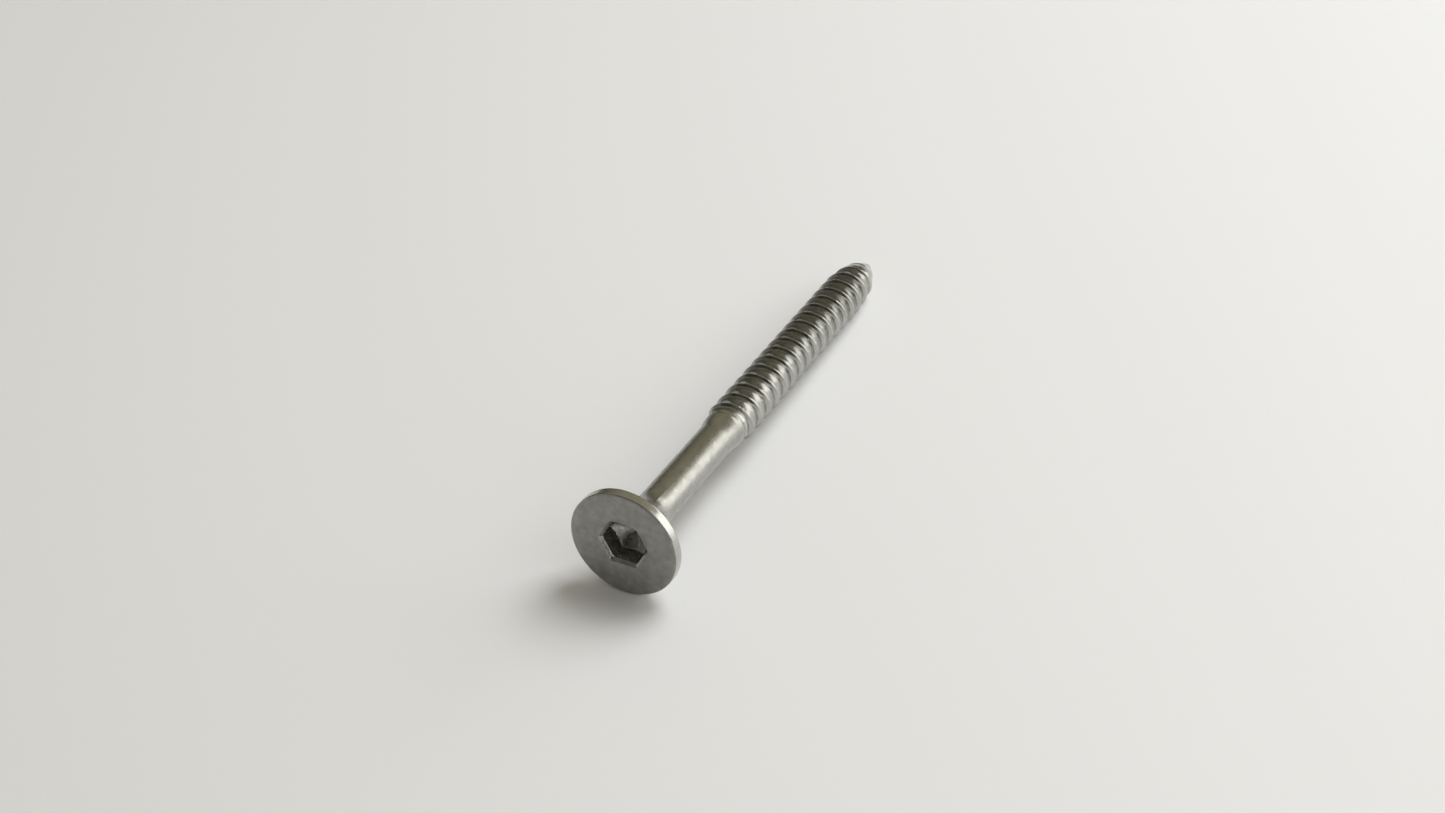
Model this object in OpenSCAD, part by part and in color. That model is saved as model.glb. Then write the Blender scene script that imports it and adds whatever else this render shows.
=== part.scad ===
// Countersunk wood screw with a hexagon socket, lying along +Y.
// The origin is the centre of the head's flat face. The point is at the far end of +Y.
// A real screw is one piece of cold-formed steel. Each node below is one of its sections,
// and neighbouring sections meet face to face.

/* [Overall] */
// Length from the flat face of the head to the tip of the point
screw_length = 70; // [60:1:80]

/* [Head] */
// Diameter of the head
head_d = 14; // [13:0.5:16]
// Height of the cylindrical edge of the head
land_h = 1.25; // [1:0.05:1.6]
// Full angle of the countersunk underside
countersink_angle = 90; // [84:1:96]
// Radius that blends the underside of the head into the shank
neck_fillet = 5; // [3:0.5:6]
// Rounding of the front edge of the head
front_round = 0.15; // [0.1:0.05:0.3]
// Rounding of the edge between the cylindrical edge and the underside
back_round = 0.2; // [0.1:0.05:0.3]

/* [Hexagon socket] */
// Width across flats of the socket
socket_af = 5.05; // [4.5:0.05:5.5]
// Depth of the socket's corners below the face
socket_depth = 2.4; // [2:0.1:2.8]
// Slope of the socket's conical bottom
socket_slope = 30; // [15:1:35]
// Width of the lead-in chamfer, measured on the face
lead_in = 0.4; // [0.2:0.05:0.5]
// Depth of the lead-in chamfer
lead_in_depth = 0.45; // [0.3:0.05:0.6]

/* [Shank and collar] */
// Diameter of the plain shank
shank_d = 4.7; // [4.4:0.1:5]
// Distance from the face to the start of the collar's flare
collar_start = 23; // [18:0.5:26]
// Diameter of the collar between shank and thread
collar_d = 5.26; // [5.1:0.02:5.5]
// Length of the flare from the shank up to the collar
flare_length = 1.8; // [1.2:0.1:2.5]
// Length of the collar's cylinder
collar_length = 1.35; // [0.8:0.05:2]
// Length of the step from the collar down to the thread core
step_length = 0.35; // [0.2:0.05:0.5]

/* [Thread] */
// Outside diameter of the thread
thread_d = 6; // [5.6:0.1:6.6]
// Diameter of the core between the turns
core_d = 4.6; // [4.2:0.1:4.9]
// Distance between turns
pitch = 2.32; // [2.1:0.02:2.6]
// Width of the crest
crest_w = 0.1; // [0.05:0.01:0.2]
// Axial width of the steep flank, on the head side
steep_flank = 0.24; // [0.16:0.02:0.4]
// Axial width of the bare core between the turns
root_w = 0.1; // [0.06:0.02:0.3]
// Length over which the crest drops to the core near the point
run_out = 4; // [3:0.5:6]

/* [Point] */
// Length of the point
point_length = 4.8; // [3.5:0.1:6]
// Roundness of the point: 1 is a straight cone, and more keeps it wide for longer
point_power = 1.7; // [1.3:0.1:2.4]

/* [Hidden] */

// Steel tones of the sections, from the matt head to the bright rolled thread
HEAD_GREY = [0.50, 0.49, 0.47];
SHANK_GREY = [0.60, 0.59, 0.56];
THREAD_GREY = [0.55, 0.54, 0.50];

// Steps in a full circle, in a rounded edge and in the neck's fillet
ROUND_STEPS = 96;
EDGE_STEPS = 5;
FILLET_STEPS = 14;
FLARE_STEPS = 10;

// Cuts reach this far past the face they open
PAST = 0.5;
// Radius of the small flat in the middle of the socket's bottom
SOCKET_FLAT_R = 0.5;

head_r = head_d / 2;
shank_r = shank_d / 2;
collar_r = collar_d / 2;
core_r = core_d / 2;
thread_h = (thread_d - core_d) / 2;
// The hollow flank, on the point side, takes up what is left of the pitch
hollow_flank = pitch - crest_w - steep_flank - root_w;

// The underside is a cone. It touches the neck's fillet at cone_end, and the fillet ends on the shank.
half_cone = countersink_angle / 2;
cone_end_r = shank_r + neck_fillet * (1 - cos(half_cone));
cone_end = land_h + (head_r - cone_end_r) / tan(half_cone);
shank_start = cone_end + neck_fillet * sin(half_cone);

collar_end = collar_start + flare_length + collar_length + step_length;
point_start = screw_length - point_length;

// The ridge starts just past the collar and runs to the start of the point.
STEPS_PER_TURN = 30;
FADE_IN_ANGLE = 80;
HOLLOW_POINTS = 4;
HOLLOW_POWER = 2;
RUN_OUT_POWER = 1.7;
LEAST_HEIGHT = 0.04;
// Height of the crest line above the face where its angle is zero
crest_zero = 25.93;
ridge_start = collar_end + steep_flank + crest_w / 2 + 0.05;
ridge_end = point_start - 0.1;
start_angle = 360 * (ridge_start - crest_zero) / pitch;
ridge_steps = floor((ridge_end - ridge_start) / pitch * STEPS_PER_TURN);

// Points on an arc of radius r about [x, y], from angle a0 to a1
function arc(x, y, r, a0, a1, steps) =
    [for (i = [0:steps]) let (a = a0 + (a1 - a0) * i / steps) [x + r * cos(a), y + r * sin(a)]];

// Smooth change from 0 to 1
function ease(t) = (1 - cos(180 * t)) / 2;

// Radius of a hexagon's corners from its width across flats
function corner_r(af) = af / 2 / cos(30);

// Turns a shape built along +Z so that it lies along +Y
module lay() {
    rotate([-90, 0, 0]) children();
}

// A solid of revolution from an outline of [radius, height] points
module turned(outline) {
    rotate_extrude($fn = ROUND_STEPS) polygon(outline);
}

// A hexagonal hole whose bottom is a shallow cone, so that each side ends in an arc
module socket_hole() {
    wide = corner_r(socket_af) + PAST;
    cone_start = socket_depth - PAST * tan(socket_slope);
    cone_bottom = cone_start + (wide - SOCKET_FLAT_R) * tan(socket_slope);
    intersection() {
        translate([0, 0, -PAST])
            cylinder(r = corner_r(socket_af), h = cone_bottom + 2 * PAST, $fn = 6);
        turned([[0, -2 * PAST], [wide, -2 * PAST], [wide, cone_start],
                [SOCKET_FLAT_R, cone_bottom], [0, cone_bottom]]);
    }
}

module socket_cut() {
    socket_hole();
    // The lead-in widens towards the face at the same slope above it
    slope = lead_in / lead_in_depth;
    translate([0, 0, -PAST])
        cylinder(r1 = corner_r(socket_af + 2 * (lead_in + slope * PAST)), r2 = corner_r(socket_af),
                 h = lead_in_depth + PAST, $fn = 6);
}

module head() {
    color(HEAD_GREY) lay() difference() {
        turned(concat(
            [[0, 0]],
            arc(head_r - front_round, front_round, front_round, -90, 0, EDGE_STEPS),
            arc(head_r - back_round, land_h - back_round, back_round, 0, half_cone, EDGE_STEPS),
            [[cone_end_r, cone_end], [0, cone_end]]));
        socket_cut();
    }
}

module neck() {
    color(SHANK_GREY) lay()
        turned(concat(
            [[0, cone_end]],
            arc(shank_r + neck_fillet, shank_start, neck_fillet, 180 + half_cone, 180, FILLET_STEPS),
            [[0, shank_start]]));
}

module shank() {
    color(SHANK_GREY) lay()
        translate([0, 0, shank_start])
            cylinder(r = shank_r, h = collar_start - shank_start, $fn = ROUND_STEPS);
}

module collar() {
    flare = [for (i = [0:FLARE_STEPS]) let (t = i / FLARE_STEPS)
        [shank_r + (collar_r - shank_r) * ease(t), collar_start + flare_length * t]];
    step = [for (i = [0:EDGE_STEPS]) let (t = i / EDGE_STEPS)
        [collar_r + (core_r - collar_r) * ease(t), collar_end - step_length * (1 - t)]];
    color(SHANK_GREY) lay()
        turned(concat([[0, collar_start]], flare, step, [[0, collar_end]]));
}

module core() {
    color(THREAD_GREY) lay()
        translate([0, 0, collar_end])
            cylinder(r = core_r, h = point_start - collar_end, $fn = ROUND_STEPS);
}

// Crest height at a turn angle, rising at the start and dropping to the core near the point
function crest_height(angle) =
    let (z = crest_zero + pitch * angle / 360,
         rise = ease(min(1, (angle - start_angle) / FADE_IN_ANGLE)),
         drop = max(0, (z - (ridge_end - run_out)) / run_out))
    LEAST_HEIGHT + (thread_h - LEAST_HEIGHT) * rise * (1 - pow(min(1, drop), RUN_OUT_POWER));

// Outline of the ridge as [axial offset from the crest, height above the core]. It is steep towards
// the head and hollow towards the point, and it narrows where the crest is low.
function ridge_section(h) =
    let (w = sqrt(h / thread_h))
    concat(
        [[-w * (steep_flank + crest_w / 2), 0], [-w * crest_w / 2, h], [w * crest_w / 2, h]],
        [for (i = [1:HOLLOW_POINTS]) let (t = i / (HOLLOW_POINTS + 1))
            [w * (crest_w / 2 + hollow_flank * t), h * pow(1 - t, HOLLOW_POWER)]],
        [[w * (crest_w / 2 + hollow_flank), 0]]);

module thread() {
    rings = [for (i = [0:ridge_steps])
        let (angle = start_angle + 360 * i / STEPS_PER_TURN, z = crest_zero + pitch * angle / 360)
        [for (p = ridge_section(crest_height(angle)))
            [(core_r + p[1]) * cos(angle), (core_r + p[1]) * sin(angle), z + p[0]]]];
    n = len(rings[0]);
    points = [for (ring = rings) for (p = ring) p];
    sides = [for (i = [0:ridge_steps - 1]) for (j = [0:n - 1])
        let (a = i * n + j, b = i * n + (j + 1) % n)
        each [[a, b, a + n], [b, b + n, a + n]]];
    caps = [[for (j = [n - 1:-1:0]) j], [for (j = [0:n - 1]) ridge_steps * n + j]];
    color(THREAD_GREY) lay() polyhedron(points = points, faces = concat(sides, caps));
}

module point() {
    // The radius follows a power curve, which leaves the core smoothly and grows steeper to the tip
    curve = [for (i = [0:FILLET_STEPS]) let (t = i / FILLET_STEPS)
        [core_r * (1 - pow(t, point_power)), point_start + point_length * t]];
    color(THREAD_GREY) lay()
        turned(concat([[0, point_start]], curve));
}

head();
neck();
shank();
collar();
core();
thread();
point();
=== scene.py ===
"""A countersunk wood screw with a hexagon socket, lying on a pale floor.

Lengths are in metres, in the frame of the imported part: the screw's axis is +Y, from the centre of
the head's flat face at the origin to the point. An angle about the axis is measured from +X
towards -Z.
"""
import math

import bpy
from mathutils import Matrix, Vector, noise


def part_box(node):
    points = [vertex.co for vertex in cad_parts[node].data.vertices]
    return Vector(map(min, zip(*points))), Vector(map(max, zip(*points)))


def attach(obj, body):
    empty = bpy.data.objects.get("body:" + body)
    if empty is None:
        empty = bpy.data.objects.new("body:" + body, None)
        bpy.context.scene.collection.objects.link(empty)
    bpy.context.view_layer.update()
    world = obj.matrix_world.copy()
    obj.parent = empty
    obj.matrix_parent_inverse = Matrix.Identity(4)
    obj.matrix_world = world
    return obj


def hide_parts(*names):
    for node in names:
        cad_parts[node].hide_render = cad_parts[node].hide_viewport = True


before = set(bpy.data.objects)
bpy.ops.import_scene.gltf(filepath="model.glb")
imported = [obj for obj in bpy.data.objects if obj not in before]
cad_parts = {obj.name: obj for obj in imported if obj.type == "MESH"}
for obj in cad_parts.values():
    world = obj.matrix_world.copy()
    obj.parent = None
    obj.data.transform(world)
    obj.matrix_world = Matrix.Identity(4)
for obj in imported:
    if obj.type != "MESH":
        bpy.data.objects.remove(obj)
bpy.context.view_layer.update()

MM = 0.001

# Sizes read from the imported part
_, head_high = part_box("head")
_, neck_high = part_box("neck")
shank_low, shank_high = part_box("shank")
collar_low, collar_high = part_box("collar")
_, thread_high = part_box("thread")
point_low, point_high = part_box("point")
HEAD_R = head_high.x
CONE_END_R = neck_high.x
CONE_END = head_high.y
SHANK_R = shank_high.x
SHANK_START = shank_low.y
COLLAR_R = collar_high.x
COLLAR_START = collar_low.y
COLLAR_END = collar_high.y
CREST_R = thread_high.z
POINT_START = point_low.y
TIP = point_high.y

# An uneven surface is given by the height of its lumps, their size and a seed for the noise.

# Socket
SOCKET_FLAT = 2.525 * MM
SOCKET_MOUTH = 2.925 * MM
LEAD_IN_DEPTH = 0.42 * MM
LIP_LIFT = 0.008 * MM
LIP_LUMPS = (0.02 * MM, 0.8 * MM, 11)
SOCKET_DEPTH = 2.4 * MM
SOCKET_SLOPE = math.radians(30)
SOCKET_CENTRE_R = 0.5 * MM
WALL_MARGIN = 0.03 * MM
CORNER_ROUND = 0.055 * MM
CORNER_DEGREES = 2.6
BOTTOM_LUMPS = (0.03 * MM, 0.5 * MM, 3)
BOTTOM_GRAIN = (0.015 * MM, 0.2 * MM, 4)

# Face, rim and underside. The nicks are angles in degrees.
LAND = 1.25 * MM
FACE_EDGE = 0.5 * MM
FACE_EDGE_DROP = 0.05 * MM
FACE_LUMPS = (0.012 * MM, 1.6 * MM, 5)
FACE_LUMPS_START = 0.25
FRONT_ROUND = 0.12 * MM
BACK_ROUND = 0.2 * MM
HALF_CONE = math.radians(45)
DRAW_IN = 0.12 * MM
DRAW_IN_WIDTH = 0.45 * MM
DRAW_IN_AT_CORNER = 0.25
RIM_LUMPS = (0.01 * MM, 1.5 * MM, 8)
NICKS = (-57.5, -62.5, -67.5)
NICK_WIDTH = 1.5
NICK_DEPTH = 0.035 * MM

# Neck and shank
NECK_FILLET = 5 * MM
SEAM_ANGLE = math.radians(-69)
SEAM_WIDTH = math.radians(3.5)
SEAM_HEIGHT = 0.03 * MM
SEAM_LENGTH = 2.5 * MM
SHANK_LUMPS = (0.01 * MM, 2.5 * MM, 21)
LUMP_SQUEEZE = 0.5
FINE_DRAWING = (0.002 * MM, 0.22 * MM, 7.3)
COARSE_DRAWING = (0.004 * MM, 0.5 * MM, 2.1)
SHANK_FADE = 0.5 * MM
TOOL_MARK = 0.0055 * MM
TOOL_MARK_START = 17 * MM
TOOL_MARK_RUN = 4 * MM
TOOL_MARK_SPACING = 0.29 * MM
TOOL_MARK_SHIFT = (0.5, 0.9 * MM, 5.5)

# Collar
FLARE = 2.7 * MM
STEP_START = 26.3 * MM
STEP = 0.45 * MM
COLLAR_FADE = 0.3 * MM
RING_START = COLLAR_START + 0.6 * FLARE
RING_RISE = 0.5 * FLARE
RING_SPACING = 1.12 * MM
RING_HEIGHT = 0.035 * MM
RING_TILT = 0.16 * MM

# Thread. Places within a turn are fractions of the pitch after the crest line.
PITCH = 2.32 * MM
CREST_ZERO = 25.6 * MM
DRIFT = 0.5 * MM
ROOT_R = 2.55 * MM
THIN_START = 61 * MM
CREST_HALF = 0.03
ROOT = 0.90
HOLLOW_POWER = 1.6
ROOT_LIFT = 0.1
ROOT_LIFT_POWER = 5
STEEP_POWER = 1.3
RIDGE_START = 26.75 * MM
RISE_LENGTH = 0.3 * MM
RUN_OUT_START = 61.2 * MM
RUN_OUT = 6 * MM
RUN_OUT_POWER = 1.7
TAIL_HEIGHT = 0.09 * MM
TAIL_END = 69 * MM
TAIL_LENGTH = 2.5 * MM
FLANK_MARK = 0.006 * MM
FLANK_MARKS = 24
FLANK_MARK_CHANGE = 1.3
FLANK_MARK_SEED = 4.2
DENT = 0.04 * MM
FIRST_DENT = 0.10 * MM
FIRST_DENT_REACH = 9 * MM
DENT_LUMPS = (1.0, 0.45 * MM, 31)
DENT_POWER = 3

# Point. The apex is where its curve would end without the rounded nose.
POINT_R = 2.35 * MM
POINT_POWER = 1.5
NOSE_R = 0.3 * MM
APEX = TIP + 0.6 * NOSE_R
NOSE_GAP = 0.03 * MM

# How finely the surfaces are divided
SEGMENTS = 144
SHARP_ANGLE = math.radians(50)
BOTTOM_STEPS = (0.06, 0.17, 0.3, 0.45, 0.6, 0.75, 0.88, 0.96)
WALL_STEPS = (0.0, 0.04, 0.15, 0.35, 0.6, 0.85, 0.97)
LEAD_IN_STEPS = (0.06, 0.35, 0.7, 0.9, 0.97)
FACE_STEPS = (0.0, 0.012, 0.03, 0.055, 0.085, 0.12, 0.16, 0.21, 0.27, 0.34, 0.43, 0.54, 0.68, 0.84,
              1.0)
FACE_EDGE_ROWS = 6
FRONT_ROUND_ROWS = 5
RIM_STEPS = (0.2, 0.5, 0.8)
BACK_ROUND_ROWS = 6
UNDERSIDE_ROWS = 12
NECK_STEP = 0.12 * MM
SHANK_STEP = 0.05 * MM
STEEP_STEPS = (0.0, 0.1, 0.2, 0.32, 0.46, 0.6, 0.74, 0.87, 0.96)
CREST_STEPS = (-1.0, -0.6, -0.25, 0.25, 0.6, 1.0)
HOLLOW_STEPS = (0.02, 0.05, 0.09, 0.14, 0.2, 0.27, 0.34, 0.41, 0.48, 0.55, 0.62, 0.69, 0.76, 0.83,
                0.89, 0.95)
SPARE_TURNS = 2
POINT_ROWS = 64
POINT_ROW_POWER = 1.3


# ---------------------------------------------------------------- shapes
def ease(t):
    """A smooth step from 0 to 1 while t goes from 0 to 1."""
    t = min(1.0, max(0.0, t))
    return t * t * (3 - 2 * t)


def lerp(a, b, t):
    return a + (b - a) * t


def place(r, angle, y):
    """The point at radius r and that angle about the axis."""
    return Vector((r * math.cos(angle), y, -r * math.sin(angle)))


def lumps(p, uneven):
    """How far an uneven surface stands out at p."""
    height, size, seed = uneven
    return height * noise.noise(Vector((p.x / size + seed, p.y / size, p.z / size)))


def rings(y, uneven):
    """How far an uneven surface stands out at y when its lumps run all the way around."""
    height, size, seed = uneven
    return height * noise.noise(Vector((y / size, seed, 0)))


def ring_angles():
    return [2 * math.pi * j / SEGMENTS for j in range(SEGMENTS)]


def make_piece(name, points, faces, nodes, slot, *materials):
    """A closed mesh piece that rides on the screw and stands for those CAD nodes."""
    mesh = bpy.data.meshes.new(name)
    mesh.from_pydata([tuple(p) for p in points], [], faces)
    mesh.validate()
    mesh.update()
    mesh.polygons.foreach_set("use_smooth", [True] * len(mesh.polygons))
    mesh.set_sharp_from_angle(angle=SHARP_ANGLE)
    for material in materials:
        mesh.materials.append(material)
    piece = bpy.data.objects.new(name, mesh)
    bpy.context.collection.objects.link(piece)
    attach(piece, "root")
    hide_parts(*nodes)
    return piece


def lathe(rows, start_y, end_y):
    """Points and faces of rows of SEGMENTS points each, closed by a fan at both ends."""
    points = [p for row in rows for p in row]
    n = SEGMENTS
    faces = []
    for i in range(len(rows) - 1):
        for j in range(n):
            k = (j + 1) % n
            faces.append((i * n + j, (i + 1) * n + j, (i + 1) * n + k, i * n + k))
    first, last = len(points), len(points) + 1
    points += [Vector((0, start_y, 0)), Vector((0, end_y, 0))]
    base = (len(rows) - 1) * n
    for j in range(n):
        k = (j + 1) % n
        faces.append((first, j, k))
        faces.append((last, base + k, base + j))
    return points, faces


# ---------------------------------------------------------------- head
def hexagon_r(angle, flat):
    """Distance from the axis to a hexagon's side, with slightly rounded corners on the X axis."""
    from_corner = abs((math.degrees(angle) + 30) % 60 - 30)
    sharp = flat / math.cos(math.radians(30 - from_corner))
    return sharp - CORNER_ROUND * math.exp(-(from_corner / CORNER_DEGREES) ** 2)


def face_drop(angle, r, mouth):
    """How far the face is drawn in beside the socket, most at the middle of the socket's sides."""
    away = (r - mouth) / DRAW_IN_WIDTH
    side_middle = math.sin(math.radians((math.degrees(angle) % 60) * 3)) ** 2
    return DRAW_IN * lerp(DRAW_IN_AT_CORNER, 1, side_middle) * math.exp(-away * away)


def cone_depth(r):
    """Depth of the socket's conical bottom at radius r, flat in the middle."""
    corner = SOCKET_FLAT / math.cos(math.radians(30))
    return SOCKET_DEPTH + (corner - max(r, SOCKET_CENTRE_R)) * math.tan(SOCKET_SLOPE)


def bottom_point(angle, t):
    r = t * hexagon_r(angle, SOCKET_FLAT)
    p = place(r, angle, cone_depth(r))
    p.y += lumps(p, BOTTOM_LUMPS) + lumps(p, BOTTOM_GRAIN)
    return p


def wall_point(angle, t):
    r = hexagon_r(angle, SOCKET_FLAT)
    return place(r, angle, lerp(cone_depth(r) - WALL_MARGIN, LEAD_IN_DEPTH + WALL_MARGIN, t))


def lead_in_point(angle, t):
    """A point of the chamfer around the socket, or of the lip that stands up at its mouth."""
    r = hexagon_r(angle, lerp(SOCKET_FLAT, SOCKET_MOUTH, t))
    lift = LIP_LIFT if t == LEAD_IN_STEPS[-1] else 0.0
    p = place(r, angle, lerp(LEAD_IN_DEPTH, face_drop(angle, r, r), t) - lift)
    p.y += lumps(p, LIP_LUMPS) * t
    return p


def face_point(angle, t):
    mouth = hexagon_r(angle, SOCKET_MOUTH)
    r = lerp(mouth, HEAD_R - FACE_EDGE, t)
    p = place(r, angle, face_drop(angle, r, mouth))
    p.y += lumps(p, FACE_LUMPS) * ease(t / FACE_LUMPS_START)
    return p


def rim_point(angle, t):
    """A point of the rim between its two roundings, with small dents side by side."""
    nearest = min(abs(math.degrees(angle) - 360 - nick) for nick in NICKS)
    nick = NICK_DEPTH * math.exp(-(nearest / NICK_WIDTH) ** 2)
    p = place(HEAD_R - nick, angle, lerp(FACE_EDGE_DROP + FRONT_ROUND, LAND - BACK_ROUND, t))
    return p + lumps(p, RIM_LUMPS) * Vector((p.x, 0, p.z)).normalized()


def rows_of(point, steps):
    return [[point(a, t) for a in ring_angles()] for t in steps]


def circle(r, y):
    return [place(r, a, y) for a in ring_angles()]


def socket_rows():
    """The socket from the middle of its bottom up to its mouth."""
    return (rows_of(bottom_point, BOTTOM_STEPS) + rows_of(wall_point, WALL_STEPS)
            + rows_of(lead_in_point, LEAD_IN_STEPS))


def face_rows():
    """The face from the socket's mouth outwards, with its soft edge."""
    rows = rows_of(face_point, FACE_STEPS)
    for i in range(1, FACE_EDGE_ROWS + 1):
        t = i / FACE_EDGE_ROWS
        r = lerp(HEAD_R - FACE_EDGE, HEAD_R - FRONT_ROUND, t)
        rows.append(circle(r, FACE_EDGE_DROP * t * t))
    return rows


def back_round(turn):
    """Radius and depth of the rounding between rim and underside, after a turn from the rim."""
    centre_y = LAND - BACK_ROUND * math.tan(HALF_CONE / 2)
    return HEAD_R - BACK_ROUND + BACK_ROUND * math.cos(turn), centre_y + BACK_ROUND * math.sin(turn)


def rim_rows():
    """The rim with its front and back roundings."""
    rows = []
    for i in range(1, FRONT_ROUND_ROWS + 1):
        turn = math.radians(90 - 90 * i / FRONT_ROUND_ROWS)
        rows.append(circle(HEAD_R - FRONT_ROUND + FRONT_ROUND * math.cos(turn),
                           FACE_EDGE_DROP + FRONT_ROUND * (1 - math.sin(turn))))
    rows += rows_of(rim_point, RIM_STEPS)
    rows += [circle(*back_round(HALF_CONE * i / BACK_ROUND_ROWS)) for i in range(BACK_ROUND_ROWS)]
    return rows


def underside_rows():
    """The countersunk underside from the rim's back rounding to the neck."""
    r, y = back_round(HALF_CONE)
    shares = [i / UNDERSIDE_ROWS for i in range(UNDERSIDE_ROWS + 1)]
    return [circle(lerp(r, CONE_END_R, t), lerp(y, CONE_END, t)) for t in shares]


def build_head(*steels):
    """The head. Its steels are those of the socket, the face, the rim and the underside."""
    sections = (socket_rows(), face_rows(), rim_rows(), underside_rows())
    section_of_row = [i for i, section in enumerate(sections) for _ in section]
    rows = [row for section in sections for row in section]
    points, faces = lathe(rows, cone_depth(0.0), CONE_END)
    head = make_piece("head_body", points, faces, ["head"], "head_steel", *steels)
    for polygon in head.data.polygons:
        polygon.material_index = section_of_row[min(polygon.vertices) // SEGMENTS]


# ---------------------------------------------------------------- neck and shank
def neck_r(y):
    """Radius of the fillet between the underside and the shank."""
    run = min(1.0, max(0.0, (SHANK_START - y) / NECK_FILLET))
    return SHANK_R + NECK_FILLET * (1 - math.sqrt(1 - run * run))


def seam(angle, y):
    """The low ridge that the heading dies leave along the neck, fading out along the shank."""
    across = (angle - 2 * math.pi - SEAM_ANGLE) / SEAM_WIDTH
    left = ease((SHANK_START + SEAM_LENGTH - y) / SEAM_LENGTH)
    return SEAM_HEIGHT * math.exp(-across * across) * left


def tool_marks(y):
    """Fine rings that grow towards the collar, where the rolling dies have rubbed."""
    grown = ease((y - TOOL_MARK_START) / TOOL_MARK_RUN)
    turns = y / TOOL_MARK_SPACING + rings(y, TOOL_MARK_SHIFT)
    return TOOL_MARK * grown * math.cos(2 * math.pi * turns)


def shank_r(angle, y):
    """Radius of the drawn shank, even at both ends so that the joints stay closed."""
    p = place(SHANK_R, angle, y)
    squeezed = Vector((p.x * LUMP_SQUEEZE, p.y, p.z * LUMP_SQUEEZE))
    marks = rings(y, FINE_DRAWING) + rings(y, COARSE_DRAWING) + tool_marks(y)
    uneven = marks + lumps(squeezed, SHANK_LUMPS)
    fade = ease((y - SHANK_START) / SHANK_FADE) * ease((COLLAR_START - y) / SHANK_FADE)
    return SHANK_R + uneven * fade + seam(angle, y)


def build_plain(name, node, start, end, step, radius, material):
    """A piece without thread, from rows of circles whose radius is a function of angle and y."""
    count = round((end - start) / step)
    heights = [lerp(start, end, i / count) for i in range(count + 1)]
    rows = [[place(radius(a, y), a, y) for a in ring_angles()] for y in heights]
    points, faces = lathe(rows, start, end)
    make_piece(name, points, faces, [node], "shank_steel", material)


# ---------------------------------------------------------------- collar and thread
def root_r(y):
    """Radius between the turns, and of the point, which curves in to a small rounded nose."""
    if y <= POINT_START:
        return lerp(ROOT_R, POINT_R, ease((y - THIN_START) / (POINT_START - THIN_START)))
    t = (y - POINT_START) / (APEX - POINT_START)
    curve = POINT_R * (1 - t ** POINT_POWER)
    if y < TIP - 0.5 * NOSE_R:
        return curve
    return min(curve, math.sqrt(max(0.0, NOSE_R ** 2 - (y - TIP + NOSE_R) ** 2)))


def body_r(angle, y):
    """Radius of the collar and of the thread's core without the ridge."""
    if y > STEP_START:
        return lerp(COLLAR_R, root_r(y), ease((y - STEP_START) / STEP))
    wave = math.cos(2 * math.pi * (y - STEP_START + RING_TILT * math.sin(angle)) / RING_SPACING)
    shown = ease((y - RING_START) / RING_RISE) * ease((STEP_START - y) / COLLAR_FADE)
    flared = lerp(SHANK_R, COLLAR_R, ease((y - COLLAR_START) / FLARE))
    marks = tool_marks(y) * ease((y - COLLAR_START) / COLLAR_FADE)
    return flared + RING_HEIGHT * wave * shown + marks


def ridge_height(y):
    """Height of the crest line above the root, at the start, along the thread and on the point."""
    rise = ease((y - RIDGE_START) / RISE_LENGTH)
    drop = min(1.0, max(0.0, (y - RUN_OUT_START) / RUN_OUT))
    tail = TAIL_HEIGHT * ease((TAIL_END - y) / TAIL_LENGTH)
    return rise * max((CREST_R - ROOT_R) * (1 - drop ** RUN_OUT_POWER), tail)


def ridge_share(q):
    """Share of the crest height at q turns after the crest line, from ROOT - 1 to ROOT."""
    if q < -CREST_HALF:
        t = (q + 1 - ROOT) / (1 - ROOT - CREST_HALF)
        return lerp(ROOT_LIFT, 1, t ** STEEP_POWER)
    if q <= CREST_HALF:
        return 1.0
    t = (q - CREST_HALF) / (ROOT - CREST_HALF)
    return (1 - t) ** HOLLOW_POWER + ROOT_LIFT * t ** ROOT_LIFT_POWER


def helix_y(turns):
    """Distance of the crest line from the face, with a slight drift along the thread."""
    share = min(1.0, max(0.0, turns * PITCH / (POINT_START - CREST_ZERO)))
    return CREST_ZERO + PITCH * turns + DRIFT * math.sin(math.pi * share)


def turns_at(y):
    """The number of turns at which the crest line has reached y, closer with each of four steps."""
    turns = (y - CREST_ZERO) / PITCH
    for _ in range(4):
        turns -= (helix_y(turns) - y) / PITCH
    return turns


def surface_r(angle, y, turns=None, q=None):
    """Radius of the collar, the thread and the point, with the marks that rolling leaves on them.

    The turns of the crest line at this angle, and the place q after it, are worked out if they
    aren't given.
    """
    if q is None:
        around = angle / (2 * math.pi)
        whole = turns_at(y) - around
        turns = math.floor(whole + 1 - ROOT) + around
        q = whole + around - turns
    height = ridge_height(helix_y(turns))
    share = ridge_share(q)
    body = body_r(angle, y)
    ridge = root_r(y) + height * share
    if height == 0.0 or body >= ridge:
        return body
    full = height / (CREST_R - ROOT_R)
    across = Vector((q * FLANK_MARKS, turns * FLANK_MARK_CHANGE, FLANK_MARK_SEED))
    marks = FLANK_MARK * full * noise.noise(across)
    first_turns = math.exp(-max(0.0, y - RIDGE_START) / FIRST_DENT_REACH)
    hollows = max(0.0, lumps(place(CREST_R, angle, y), DENT_LUMPS)) ** 2
    dent = (DENT + FIRST_DENT * first_turns) * full * share ** DENT_POWER * hollows
    return max(body, ridge + marks - dent)


def row_places():
    """Places of the helical rows within one turn, close together where the ridge is sharp."""
    steep = [lerp(ROOT - 1, -CREST_HALF, t) for t in STEEP_STEPS]
    crest = [CREST_HALF * t for t in CREST_STEPS]
    hollow = [lerp(CREST_HALF, ROOT, t) for t in HOLLOW_STEPS]
    return steep + crest + hollow


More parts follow.
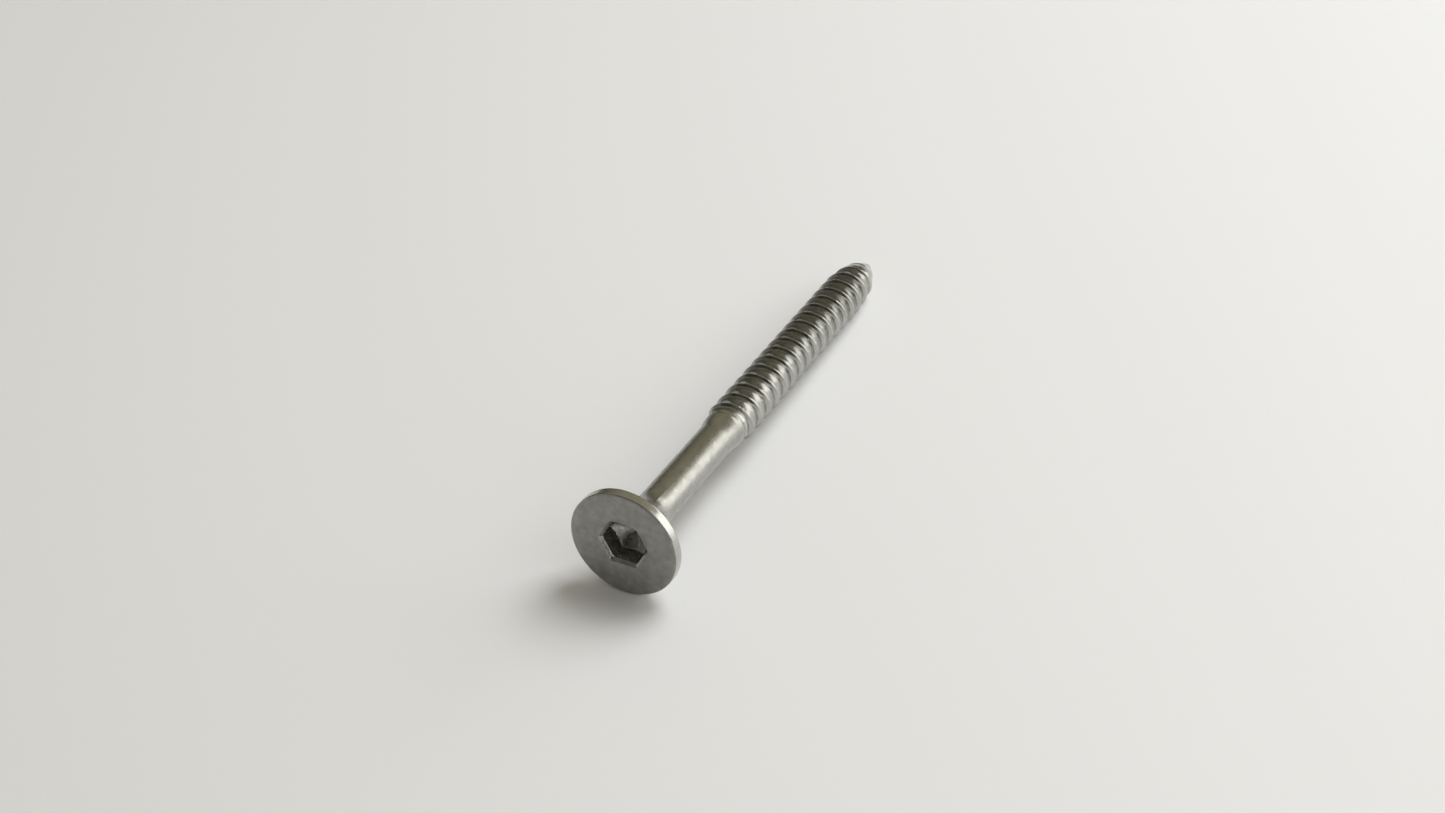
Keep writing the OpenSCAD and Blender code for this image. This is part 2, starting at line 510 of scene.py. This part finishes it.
def height_key(y):
    """Whole nanometres, so that points of neighbouring rows that fall together are made once."""
    return round(y * 1e9)


def helical_points(rows, start, end):
    """Points of the helical rows, the index of each by row and angle, and by angle and height."""
    points, index, where = [], {}, {}
    for j, a in enumerate(ring_angles()):
        for i, (turn, q) in enumerate(rows):
            turns = turn + a / (2 * math.pi)
            y = helix_y(turns + q)
            inside = start < y < end
            y = min(end, max(start, y))
            key = (j, height_key(y))
            if key not in where:
                where[key] = len(points)
                r = surface_r(a, y, turns, q) if inside else surface_r(a, y)
                points.append(place(r, a, y))
            index[i, j] = where[key]
    return points, index, where


def helical_faces(row_count, per_turn, index):
    """Faces between the rows. The last angle joins the first one a turn further along the helix."""
    faces = []
    for j in range(SEGMENTS):
        k = (j + 1) % SEGMENTS
        shift = per_turn if k == 0 else 0
        for i in range(row_count - 1 - shift):
            corners = [index[i, j], index[i + 1, j], index[i + 1 + shift, k], index[i + shift, k]]
            kept = [c for n, c in enumerate(corners) if c != corners[n - 1]]
            if len(set(kept)) >= 3:
                faces.append(tuple(kept))
    return faces


def build_helical(name, start, end, nodes, material):
    """A threaded piece whose rows follow the helix, cut square at both ends."""
    places = row_places()
    first_turn = math.floor((start - CREST_ZERO) / PITCH) - SPARE_TURNS
    last_turn = math.ceil((end - CREST_ZERO) / PITCH) + SPARE_TURNS
    rows = [(turn, q) for turn in range(first_turn, last_turn) for q in places]
    points, index, where = helical_points(rows, start, end)
    faces = helical_faces(len(rows), len(places), index)
    for y, flip in ((start, False), (end, True)):
        centre = len(points)
        points.append(Vector((0, y, 0)))
        ring = [where[j, height_key(y)] for j in range(SEGMENTS)]
        for j in range(SEGMENTS):
            a, b = ring[j], ring[(j + 1) % SEGMENTS]
            faces.append((centre, b, a) if flip else (centre, a, b))
    make_piece(name, points, faces, nodes, "thread_steel", material)


def build_point(material):
    """The point, with its rows closer together towards the nose."""
    shares = [1 - (1 - i / POINT_ROWS) ** POINT_ROW_POWER for i in range(POINT_ROWS + 1)]
    heights = [lerp(POINT_START, TIP - NOSE_GAP, t) for t in shares]
    rows = [[place(surface_r(a, y), a, y) for a in ring_angles()] for y in heights]
    points, faces = lathe(rows, POINT_START, TIP)
    make_piece("point_body", points, faces, ["point"], "thread_steel", material)


# ---------------------------------------------------------------- materials
# Noise rarely leaves this range
NOISE_LOW, NOISE_HIGH = 0.3, 0.7
MOTTLE_SCALE, MOTTLE_DETAIL = 900, 6.0
GLOSS_SCALE, GLOSS_DETAIL = 1500, 5.0
GRAIN_DETAIL = 3.0
MARK_DETAIL = 4.0
# Scale of the marks around the axis, as a share of their scale along it
MARK_SQUEEZE = 0.04


class Nodes:
    """Short calls for building a material's nodes."""

    def __init__(self, name):
        self.material = bpy.data.materials.new(name)
        self.material.use_nodes = True
        self.tree = self.material.node_tree
        self.shader = self.tree.nodes["Principled BSDF"]
        self.place = self.tree.nodes.new("ShaderNodeTexCoord").outputs["Object"]

    def link(self, out, into):
        self.tree.links.new(out, into)

    def noise(self, scale, detail, stretch=(1, 1, 1)):
        mapping = self.tree.nodes.new("ShaderNodeMapping")
        mapping.inputs["Scale"].default_value = stretch
        self.link(self.place, mapping.inputs["Vector"])
        texture = self.tree.nodes.new("ShaderNodeTexNoise")
        texture.inputs["Scale"].default_value = scale
        texture.inputs["Detail"].default_value = detail
        self.link(mapping.outputs[0], texture.inputs["Vector"])
        return texture.outputs["Fac"]

    def blend(self, value, dark, light):
        ramp = self.tree.nodes.new("ShaderNodeValToRGB")
        ends = zip(ramp.color_ramp.elements, (NOISE_LOW, NOISE_HIGH), (dark, light))
        for element, position, colour in ends:
            element.position = position
            element.color = (*colour, 1)
        self.link(value, ramp.inputs["Fac"])
        return ramp.outputs["Color"]

    def spread(self, value, low, high):
        remap = self.tree.nodes.new("ShaderNodeMapRange")
        remap.inputs["From Min"].default_value = NOISE_LOW
        remap.inputs["From Max"].default_value = NOISE_HIGH
        remap.inputs["To Min"].default_value = low
        remap.inputs["To Max"].default_value = high
        self.link(value, remap.inputs["Value"])
        return remap.outputs["Result"]

    def bump(self, value, depth, below=None):
        bump = self.tree.nodes.new("ShaderNodeBump")
        bump.inputs["Distance"].default_value = depth
        self.link(value, bump.inputs["Height"])
        if below is not None:
            self.link(below, bump.inputs["Normal"])
        return bump.outputs["Normal"]


def steel(name, dark, light, rough, grain, marks):
    """Stainless steel with mottled colour, a grain and fine marks that run around the axis.

    Rough is the lowest and highest roughness. Grain and marks are each a scale and a depth.
    """
    n = Nodes(name)
    mottle = n.noise(MOTTLE_SCALE, MOTTLE_DETAIL)
    n.link(n.blend(mottle, dark, light), n.shader.inputs["Base Color"])
    gloss = n.noise(GLOSS_SCALE, GLOSS_DETAIL)
    n.link(n.spread(gloss, *rough), n.shader.inputs["Roughness"])
    n.shader.inputs["Metallic"].default_value = 1.0
    grain_scale, grain_depth = grain
    grain_bump = n.bump(n.noise(grain_scale, GRAIN_DETAIL), grain_depth)
    along, mark_depth = marks
    around = along * MARK_SQUEEZE
    mark_bump = n.bump(n.noise(1.0, MARK_DETAIL, (around, along, around)), mark_depth, grain_bump)
    n.link(mark_bump, n.shader.inputs["Normal"])
    return n.material


def build_materials():
    return {
        "socket": steel("broached_steel", (0.30, 0.295, 0.275), (0.50, 0.495, 0.47),
                        rough=(0.2, 0.4), grain=(3500, 0.012 * MM), marks=(2500, 0.004 * MM)),
        # The face's steel is darker than the rest of the screw: partly its duller finish, partly
        # painted shade for the shadowed floor it reflects
        "head": steel("pickled_steel_painted_shade", (0.30, 0.292, 0.28), (0.39, 0.381, 0.365),
                      rough=(0.4, 0.55), grain=(7000, 0.014 * MM), marks=(3000, 0.0015 * MM)),
        # The rim's steel is lighter than the shank's: partly its smoother finish, partly a painted
        # highlight that brightens its reflection of the window
        "rim": steel("turned_steel_painted_highlight", (0.48, 0.475, 0.45), (0.54, 0.535, 0.51),
                     rough=(0.2, 0.28), grain=(5000, 0.003 * MM), marks=(3000, 0.001 * MM)),
        "shank": steel("drawn_steel", (0.36, 0.357, 0.338), (0.45, 0.446, 0.422),
                       rough=(0.24, 0.38), grain=(7000, 0.012 * MM), marks=(5000, 0.005 * MM)),
        # The thread's steel is lighter than the shank's: partly its rolled finish, partly a painted
        # highlight that brightens the bright patches in its hollows
        "thread": steel("rolled_steel_painted_highlight", (0.44, 0.436, 0.41), (0.53, 0.525, 0.497),
                        rough=(0.15, 0.27), grain=(5500, 0.010 * MM), marks=(4000, 0.006 * MM)),
    }


# ---------------------------------------------------------------- floor
FLOOR_GAP = 0.01 * MM
NEAR_FLOOR = 130 * MM
FAR_FLOOR = 1500 * MM
FLOOR_FADE_START = 250 * MM
FLOOR_FADE_END = 550 * MM
FLOOR_COLOUR = (0.87, 0.87, 0.885)
FLOOR_ROUGHNESS = 0.45
BACKDROP = (0.78, 0.78, 0.77)


def floor_sheet(name, corners, faces, material):
    """A flat piece of floor, sloped to touch the head's rim and the thread near the point."""
    slope = (HEAD_R - CREST_R) / (RUN_OUT_START - LAND)
    points = [(x, y, -HEAD_R + (y - LAND) * slope - FLOOR_GAP) for x, y in corners]
    mesh = bpy.data.meshes.new(name)
    mesh.from_pydata(points, [], faces)
    mesh.materials.append(material)
    floor = bpy.data.objects.new(name, mesh)
    bpy.context.collection.objects.link(floor)
    return floor


def square(half):
    """Corners of a square around the middle of the screw."""
    middle = TIP / 2
    return [(x * half, middle + y * half) for x, y in ((-1, -1), (1, -1), (1, 1), (-1, 1))]


def faded(paint):
    """The floor's paint, which turns into the backdrop's colour far from the screw."""
    material = paint.copy()
    material.name = "far_floor_paint"
    tree = material.node_tree
    new, link = tree.nodes.new, tree.links.new
    distance = new("ShaderNodeVectorMath")
    distance.operation = "LENGTH"
    link(new("ShaderNodeNewGeometry").outputs["Position"], distance.inputs[0])
    fade = new("ShaderNodeMapRange")
    fade.interpolation_type = "SMOOTHSTEP"
    fade.inputs["From Min"].default_value = FLOOR_FADE_START
    fade.inputs["From Max"].default_value = FLOOR_FADE_END
    link(distance.outputs["Value"], fade.inputs["Value"])
    glow = new("ShaderNodeEmission")
    glow.inputs["Color"].default_value = (*BACKDROP, 1)
    mix = new("ShaderNodeMixShader")
    link(fade.outputs["Result"], mix.inputs[0])
    link(tree.nodes["Principled BSDF"].outputs[0], mix.inputs[1])
    link(glow.outputs[0], mix.inputs[2])
    link(mix.outputs[0], tree.nodes["Material Output"].inputs["Surface"])
    return material


def build_floor():
    """A pale floor. Its far part is left out of reflections, as if a dark room began there."""
    paint = bpy.data.materials.new("floor_paint")
    paint.use_nodes = True
    shader = paint.node_tree.nodes["Principled BSDF"]
    shader.inputs["Base Color"].default_value = (*FLOOR_COLOUR, 1)
    shader.inputs["Roughness"].default_value = FLOOR_ROUGHNESS
    floor_sheet("floor", square(NEAR_FLOOR), [(0, 1, 2, 3)], paint)
    around = [(i, (i + 1) % 4, 4 + (i + 1) % 4, 4 + i) for i in range(4)]
    far = floor_sheet("far_floor", square(FAR_FLOOR) + square(NEAR_FLOOR), around, faded(paint))
    far.visible_glossy = False


# ---------------------------------------------------------------- lights
LIGHT_DISTANCE = 0.7
FLOOR_LIGHT_DISTANCE = 0.85
WINDOW_WHITE = (1.0, 1.0, 0.96)
SIDE_WHITE = (1.0, 1.0, 0.97)
CARD_CREAM = (1.0, 0.97, 0.86)
FLOOR_LIGHT_WHITE = (0.98, 0.99, 1.0)
# Colours of the room at its horizon and overhead, and where on a unit sphere they blend
BACK_LOW = (0.07, 0.065, 0.05)
BACK_HIGH = (0.36, 0.335, 0.24)
BACK_BLEND = (0.0, 0.75)
FRONT_LOW = (0.025, 0.024, 0.022)
FRONT_HIGH = (0.2, 0.19, 0.15)
FRONT_BLEND = (0.15, 0.8)
FRONT_TO_BACK = (0.0, 0.5)


def softbox(name, azimuth, elevation, size, radiance, colour, distance=LIGHT_DISTANCE):
    """A soft rectangular light towards the middle of the screw, which the camera doesn't see.

    The azimuth is in degrees from +Y towards +X, and the radiance is that of the light's surface.
    """
    width, height = size
    light = bpy.data.lights.new(name, "AREA")
    light.shape = "RECTANGLE"
    light.size, light.size_y = width, height
    light.energy = radiance * math.pi * width * height
    light.color = colour
    lamp = bpy.data.objects.new(name, light)
    bpy.context.collection.objects.link(lamp)
    a, e = math.radians(azimuth), math.radians(elevation)
    direction = Vector((math.sin(a) * math.cos(e), math.cos(a) * math.cos(e), math.sin(e)))
    middle = Vector((0, TIP / 2, 0))
    lamp.location = middle + direction * distance
    lamp.rotation_mode = "QUATERNION"
    lamp.rotation_quaternion = (middle - lamp.location).to_track_quat("-Z", "Y")
    lamp.visible_camera = False
    return lamp


def build_softboxes():
    softbox("window", 40, 17, size=(0.81, 0.436), radiance=1.95, colour=WINDOW_WHITE)
    softbox("side_strip", 128, 12, size=(0.12, 0.3), radiance=2.0, colour=SIDE_WHITE)
    softbox("left_card", -126, 9, size=(0.68, 0.35), radiance=0.2, colour=CARD_CREAM)
    softbox("side_window", 98, 40, size=(0.45, 0.4), radiance=1.2, colour=SIDE_WHITE)
    floor_light = softbox("floor_light", 30, 60, size=(0.5, 0.5), radiance=6.2,
                          colour=FLOOR_LIGHT_WHITE, distance=FLOOR_LIGHT_DISTANCE)
    floor_light.visible_glossy = False


def build_world():
    """A dim olive room at the back, darker towards its horizon, and a darker one at the front.

    The camera sees the pale backdrop instead.
    """
    world = bpy.data.worlds.new("studio")
    world.use_nodes = True
    tree = world.node_tree
    new, link = tree.nodes.new, tree.links.new
    split = new("ShaderNodeSeparateXYZ")
    link(new("ShaderNodeTexCoord").outputs["Generated"], split.inputs[0])

    def smooth(axis, ends):
        step = new("ShaderNodeMapRange")
        step.interpolation_type = "SMOOTHSTEP"
        step.inputs["From Min"].default_value, step.inputs["From Max"].default_value = ends
        link(split.outputs[axis], step.inputs["Value"])
        return step.outputs["Result"]

    def mixed(factor, low, high):
        mix = new("ShaderNodeMix")
        mix.data_type = "RGBA"
        link(factor, mix.inputs["Factor"])
        for socket, colour in ((mix.inputs[6], low), (mix.inputs[7], high)):
            if isinstance(colour, tuple):
                socket.default_value = (*colour, 1)
            else:
                link(colour, socket)
        return mix.outputs[2]

    back = mixed(smooth("Z", BACK_BLEND), BACK_LOW, BACK_HIGH)
    front = mixed(smooth("Z", FRONT_BLEND), FRONT_LOW, FRONT_HIGH)
    room = mixed(smooth("Y", FRONT_TO_BACK), front, back)
    backdrop = mixed(new("ShaderNodeLightPath").outputs["Is Camera Ray"], room, BACKDROP)
    link(backdrop, tree.nodes["Background"].inputs["Color"])
    bpy.context.scene.world = world


# ---------------------------------------------------------------- camera
# The camera looks down on the head from the front right, with the point going away
VIEW_AZIMUTH = math.radians(27.0)
VIEW_ELEVATION = math.radians(34.8)
VIEW_DISTANCE = 254.9 * MM
HEAD_RIGHT_OF_CENTRE = -11.5 * MM
HEAD_ABOVE_CENTRE = -16.0 * MM
LENS = 55
CLIP_START = 10 * MM


def build_camera():
    sin_a, cos_a = math.sin(VIEW_AZIMUTH), math.cos(VIEW_AZIMUTH)
    sin_e, cos_e = math.sin(VIEW_ELEVATION), math.cos(VIEW_ELEVATION)
    back = Vector((sin_a * cos_e, -cos_a * cos_e, sin_e))
    right = Vector((cos_a, sin_a, 0))
    up = back.cross(right)
    data = bpy.data.cameras.new("camera")
    data.lens = LENS
    data.clip_start = CLIP_START
    camera = bpy.data.objects.new("camera", data)
    bpy.context.collection.objects.link(camera)
    camera.location = back * VIEW_DISTANCE - right * HEAD_RIGHT_OF_CENTRE - up * HEAD_ABOVE_CENTRE
    camera.rotation_mode = "QUATERNION"
    camera.rotation_quaternion = (-back).to_track_quat("-Z", "Y")
    bpy.context.scene.camera = camera


materials = build_materials()
build_head(materials["socket"], materials["head"], materials["rim"], materials["shank"])
build_plain("neck_fillet", "neck", CONE_END, SHANK_START, NECK_STEP,
            lambda a, y: neck_r(y) + seam(a, y), materials["shank"])
build_plain("shank_body", "shank", SHANK_START, COLLAR_START, SHANK_STEP,
            shank_r, materials["shank"])
build_helical("collar_body", COLLAR_START, COLLAR_END, ["collar"], materials["shank"])
build_helical("threaded_section", COLLAR_END, POINT_START, ["core", "thread"], materials["thread"])
build_point(materials["thread"])
build_floor()
build_softboxes()
build_world()
build_camera()
bpy.context.scene.view_settings.view_transform = "Standard"
